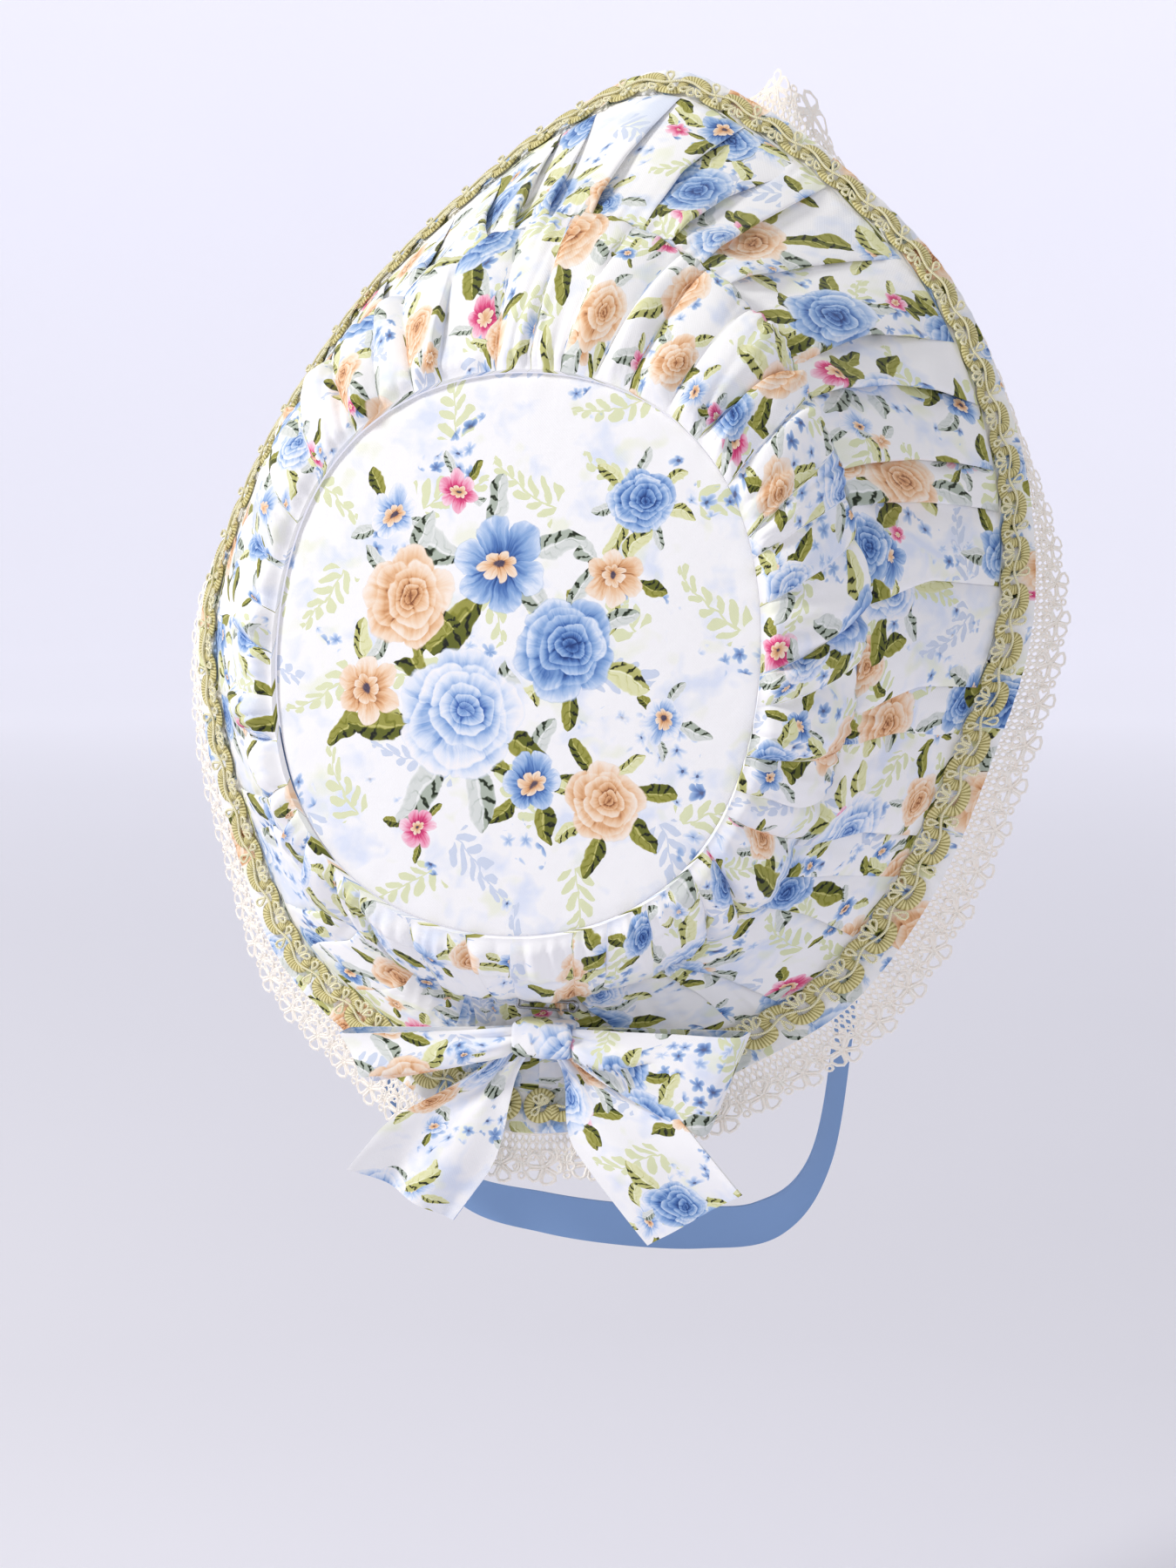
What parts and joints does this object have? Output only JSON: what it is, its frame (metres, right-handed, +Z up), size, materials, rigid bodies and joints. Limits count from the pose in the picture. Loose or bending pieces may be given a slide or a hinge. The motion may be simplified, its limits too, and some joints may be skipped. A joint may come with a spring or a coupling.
{
  "type": "doll-style bonnet",
  "caption": "Full bonnet in the doll style: domed oval back panel, ruched crown band, wide pleated brim edged with gimp braid and lace, bow at the nape, ribbon under the chin",
  "frame": {"origin": "the point inside the crown's top that rests on the wearer's head", "axes": "+Z up, +Y the way the wearer faces, +X the wearer's right"},
  "size_m": [0.3474, 0.203, 0.4522],
  "materials": {
    "printed_cotton": null,
    "gimp": "olive-gold scroll gimp, soft sheen",
    "ivory_lace": "matt cotton chemical lace",
    "pin_wire": "nickel-plated steel wire",
    "blue_satin": "double-faced polyester satin"
  },
  "bodies": {
    "root": {"back_panel": "printed_cotton", "crown_band": "printed_cotton", "brim": "printed_cotton", "bow_knot": "printed_cotton", "bow_loop_left": "printed_cotton", "bow_loop_right": "printed_cotton", "bow_tail_left": "printed_cotton", "bow_tail_right": "printed_cotton", "gimp_braid": "gimp", "lace_edging": "ivory_lace", "bar_pin": "pin_wire", "chin_ribbon": "blue_satin"}
  },
  "joints": []
}
